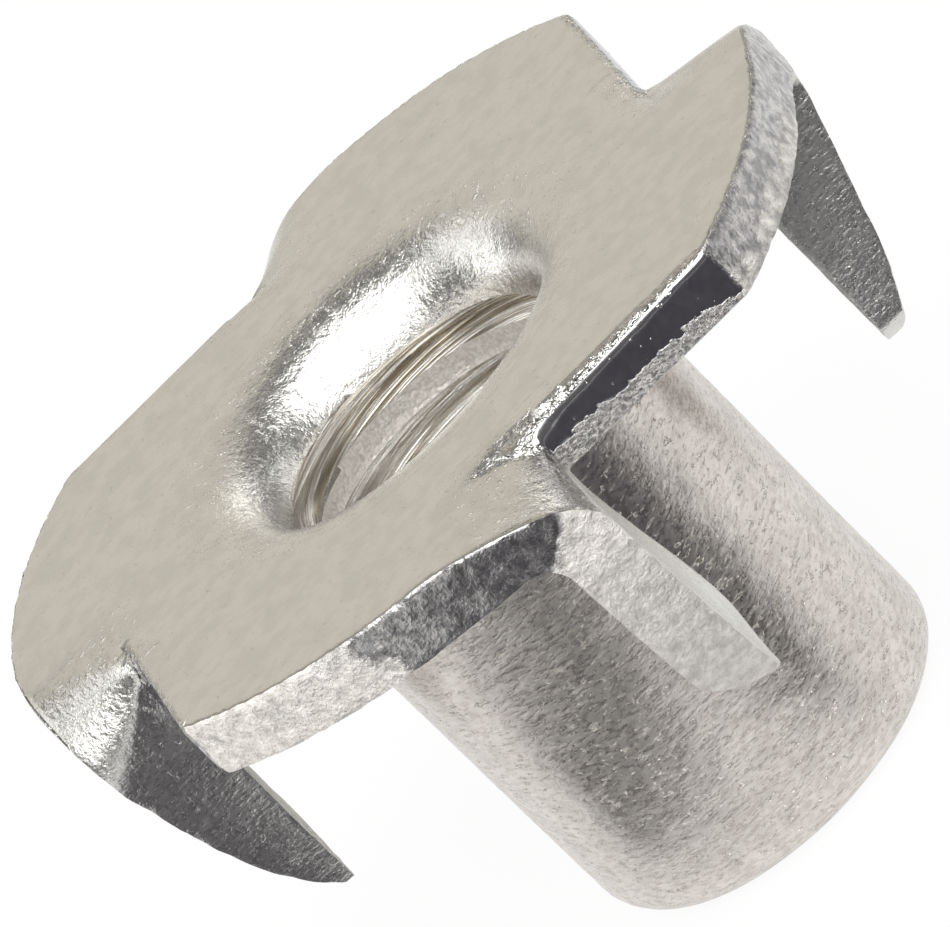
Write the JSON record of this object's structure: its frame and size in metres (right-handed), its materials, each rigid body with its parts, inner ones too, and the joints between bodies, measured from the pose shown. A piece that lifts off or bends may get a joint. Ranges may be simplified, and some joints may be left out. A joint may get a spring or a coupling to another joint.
{
  "type": "tee nut",
  "caption": "Pronged tee nut in stainless steel: a round flange with claw prongs folded down and a drawn, threaded barrel.",
  "frame": {"origin": "centre of the barrel's open end, on the barrel's axis, with the nut standing on that end", "axes": "+Z along the barrel's axis, up to the flange and the open mouth; the slits run parallel to X and Y"},
  "size_m": [0.0252, 0.0252, 0.016],
  "materials": {
    "stainless": "satin, as stamped"
  },
  "bodies": {
    "root": {"tee_nut": "stainless"}
  },
  "joints": []
}
